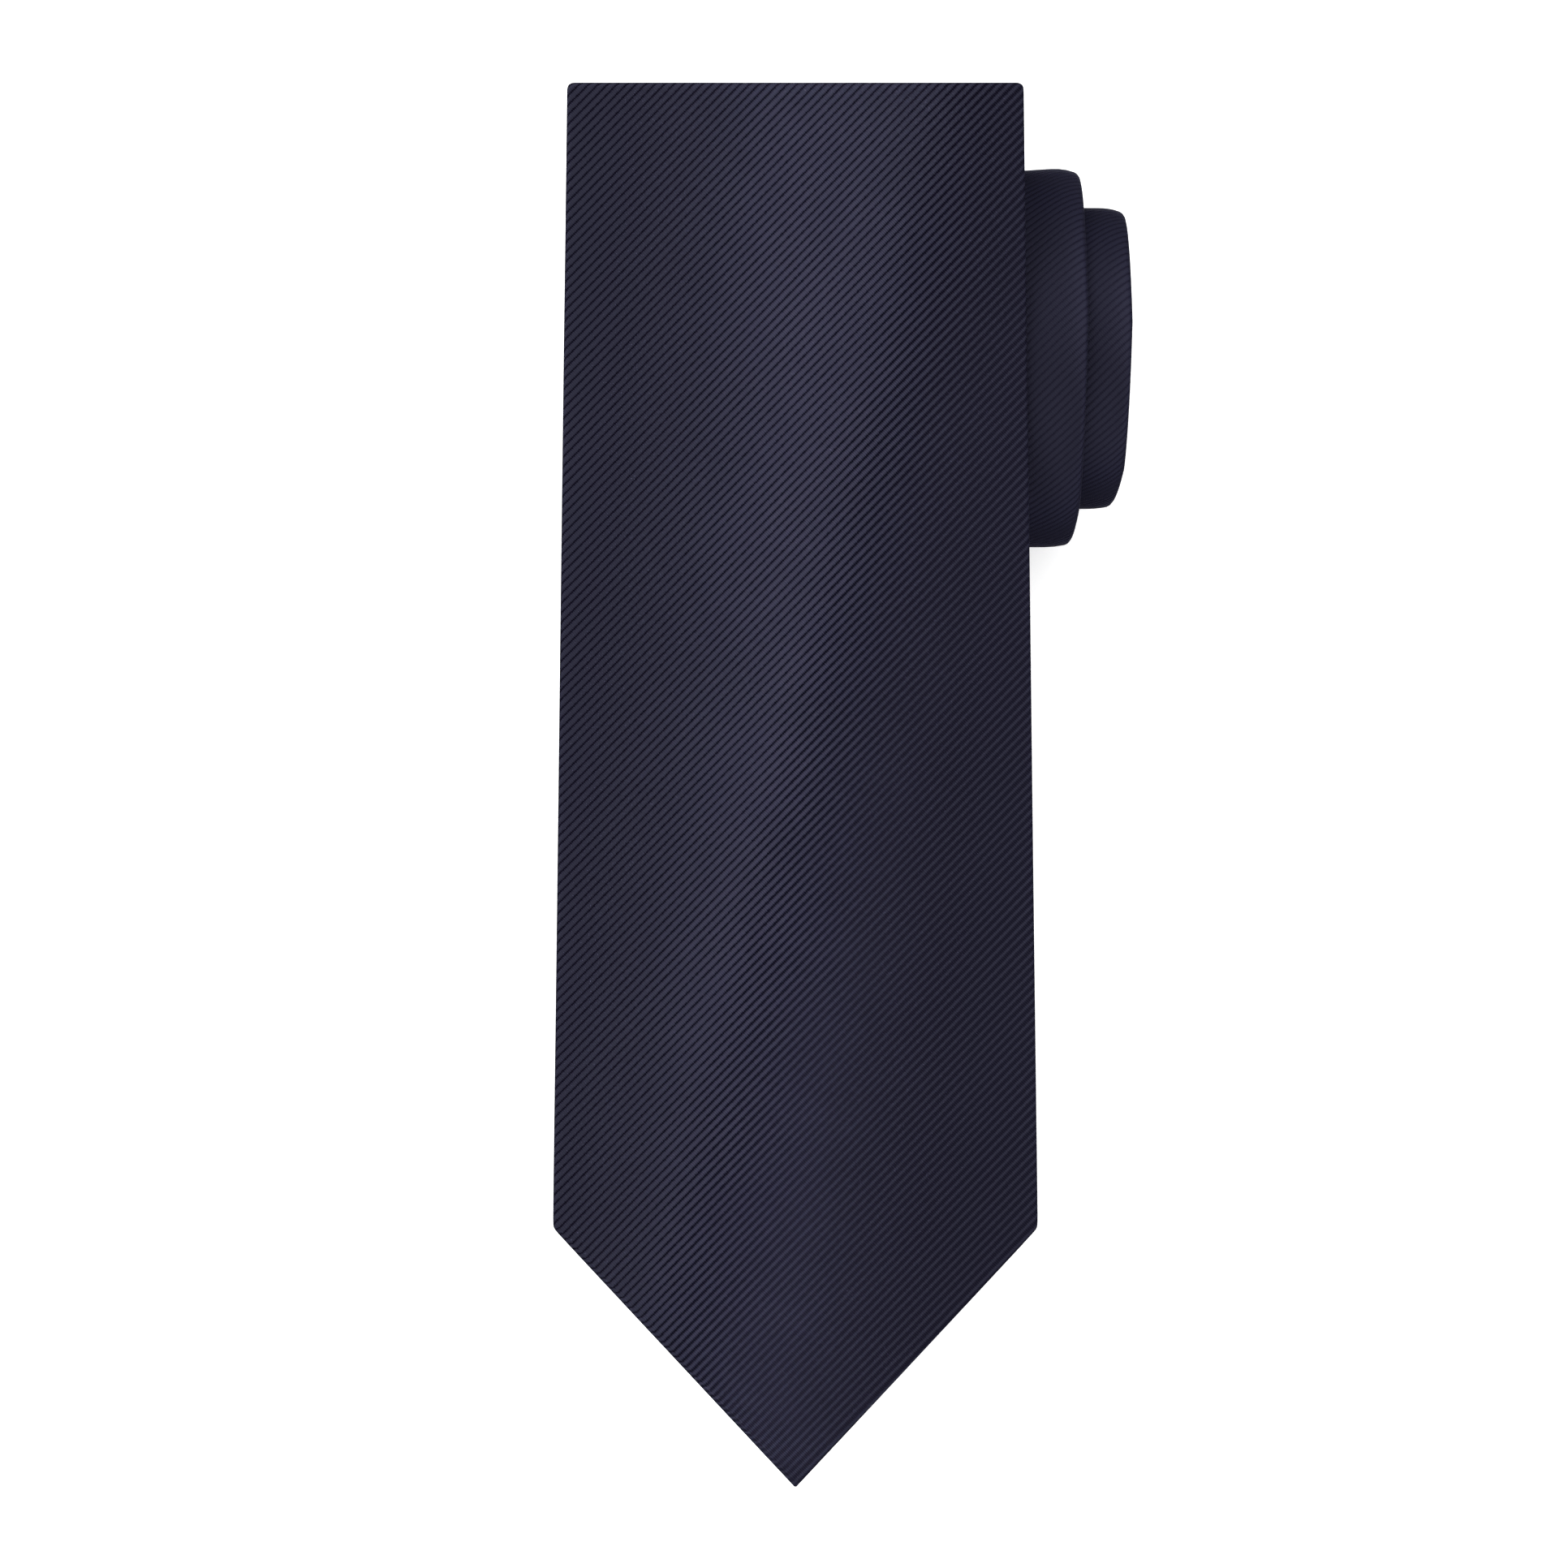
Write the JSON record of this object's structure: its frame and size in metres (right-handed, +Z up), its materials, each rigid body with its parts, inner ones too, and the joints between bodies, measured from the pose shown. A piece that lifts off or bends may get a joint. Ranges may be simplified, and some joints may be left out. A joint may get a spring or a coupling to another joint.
{
  "type": "necktie",
  "caption": "Full-length silk necktie rolled up from the tail, with its front blade lying over the roll and sloping down to its point.",
  "frame": {"origin": "middle of the underside of the whole tie's box, on the surface it rests on", "axes": "+X across the tie to the side where the roll stands out, +Y from the front blade's point towards the roll and the crease, +Z up"},
  "size_m": [0.102, 0.2358, 0.0738],
  "materials": {
    "silk": "ribbed silk twill",
    "interlining": "brushed wool",
    "tipping": "satin",
    "thread": "silk thread",
    "label": "blank damask weave",
    "care_label": "blank satin ribbon"
  },
  "bodies": {
    "roll": {"front_blade_silk_turns": "silk", "interlining_turns": "interlining", "slip_stitch_turns": "thread", "front_neck_seam": "silk"},
    "front_blade": {"front_blade_silk": "silk", "interlining_blade": "interlining", "front_tipping": "tipping", "front_bar_tack": "thread", "slip_stitch_blade": "thread", "keeper_loop": "silk", "keeper_loop_tack_left": "thread", "keeper_loop_tack_right": "thread", "woven_label": "label", "label_stitch_left": "thread", "label_stitch_right": "thread", "care_label": "care_label"},
    "inner_roll": {"neck_silk": "silk", "tail_neck_seam": "silk", "tail_silk": "silk", "interlining_core": "interlining", "slip_stitch_core": "thread", "tail_bar_tack": "thread", "tail_tipping": "tipping"}
  },
  "joints": [
    {"name": "front_blade_lift", "type": "hinge", "parent": "roll", "child": "front_blade", "pos_m": [-0.0085, 0.11764, 0.07384], "axis": [-1, 0, 0], "range_deg": [0, 170]},
    {"name": "inner_roll_slide", "type": "slide", "parent": "roll", "child": "inner_roll", "axis": [1, 0, 0], "range_m": [-0.018, 0.02]}
  ]
}
